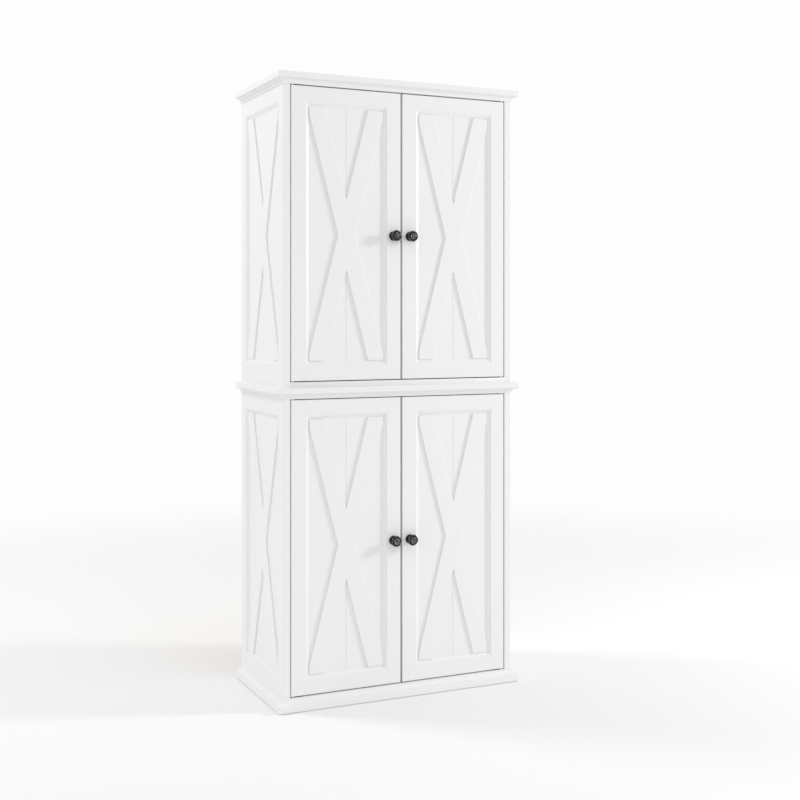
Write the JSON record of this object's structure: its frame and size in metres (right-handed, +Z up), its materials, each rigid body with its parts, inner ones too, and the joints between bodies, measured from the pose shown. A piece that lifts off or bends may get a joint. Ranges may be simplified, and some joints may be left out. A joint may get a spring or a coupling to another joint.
{
  "type": "pantry cabinet",
  "caption": "Tall two-part pantry cabinet with inset X-braced doors on hidden pivots, moulded crowns and base, turned knobs and adjustable shelves.",
  "frame": {"origin": "centre of the bounding box on the floor, half way between the knobs' fronts and the back", "axes": "+Z up, +Y from the doors to the back, +X to the right as seen from the front"},
  "size_m": [0.784, 0.419, 1.829],
  "materials": {
    "painted_wood": "satin white paint",
    "back_board": "white-faced fibreboard",
    "dark_bronze": "dark oil-rubbed bronze",
    "plated_steel": "zinc plated",
    "white_plastic": "moulded white",
    "magnet": "sintered",
    "beech": "raw"
  },
  "bodies": {
    "cabinet": {"lower_bottom_panel": "painted_wood", "lower_top_panel": "painted_wood", "lower_crown_board": "painted_wood", "lower_cove_moulding": "painted_wood", "lower_back_panel": "back_board", "lower_side_left": "painted_wood", "lower_side_brace_left": "painted_wood", "lower_side_right": "painted_wood", "lower_side_brace_right": "painted_wood", "upper_bottom_panel": "painted_wood", "upper_top_panel": "painted_wood", "upper_crown_board": "painted_wood", "upper_cove_moulding": "painted_wood", "upper_back_panel": "back_board", "upper_side_left": "painted_wood", "upper_side_brace_left": "painted_wood", "upper_side_right": "painted_wood", "upper_side_brace_right": "painted_wood", "base_moulding": "painted_wood", "plinth_rails": "painted_wood", "shelves": "painted_wood", "feet": "white_plastic", "pivot_leaves": "plated_steel", "pivot_washers": "white_plastic", "body_screws": "plated_steel", "stacking_screws": "plated_steel", "dowels": "beech", "shelf_pins": "plated_steel", "magnetic_catches": "white_plastic", "catch_magnets": "magnet", "wall_brackets": "plated_steel"},
    "lower_left_door": {"lower_left_door_frame": "painted_wood", "lower_left_door_panel": "painted_wood", "lower_left_door_brace": "painted_wood", "lower_left_door_knob": "dark_bronze", "lower_left_door_pivot_leaves": "plated_steel", "lower_left_door_strike_plate": "plated_steel", "lower_left_door_screws": "plated_steel"},
    "lower_right_door": {"lower_right_door_frame": "painted_wood", "lower_right_door_panel": "painted_wood", "lower_right_door_brace": "painted_wood", "lower_right_door_knob": "dark_bronze", "lower_right_door_pivot_leaves": "plated_steel", "lower_right_door_strike_plate": "plated_steel", "lower_right_door_screws": "plated_steel"},
    "upper_left_door": {"upper_left_door_frame": "painted_wood", "upper_left_door_panel": "painted_wood", "upper_left_door_brace": "painted_wood", "upper_left_door_knob": "dark_bronze", "upper_left_door_pivot_leaves": "plated_steel", "upper_left_door_strike_plate": "plated_steel", "upper_left_door_screws": "plated_steel"},
    "upper_right_door": {"upper_right_door_frame": "painted_wood", "upper_right_door_panel": "painted_wood", "upper_right_door_brace": "painted_wood", "upper_right_door_knob": "dark_bronze", "upper_right_door_pivot_leaves": "plated_steel", "upper_right_door_strike_plate": "plated_steel", "upper_right_door_screws": "plated_steel"}
  },
  "joints": [
    {"name": "lower_left_door_hinge", "type": "hinge", "parent": "cabinet", "child": "lower_left_door", "pos_m": [-0.343, -0.175, 0.4655], "axis": [0, 0, 1], "range_deg": [-110, 0]},
    {"name": "lower_right_door_hinge", "type": "hinge", "parent": "cabinet", "child": "lower_right_door", "pos_m": [0.343, -0.175, 0.4655], "axis": [0, 0, 1], "range_deg": [0, 110]},
    {"name": "upper_left_door_hinge", "type": "hinge", "parent": "cabinet", "child": "upper_left_door", "pos_m": [-0.343, -0.175, 1.369], "axis": [0, 0, 1], "range_deg": [-110, 0]},
    {"name": "upper_right_door_hinge", "type": "hinge", "parent": "cabinet", "child": "upper_right_door", "pos_m": [0.343, -0.175, 1.369], "axis": [0, 0, 1], "range_deg": [0, 110]}
  ]
}
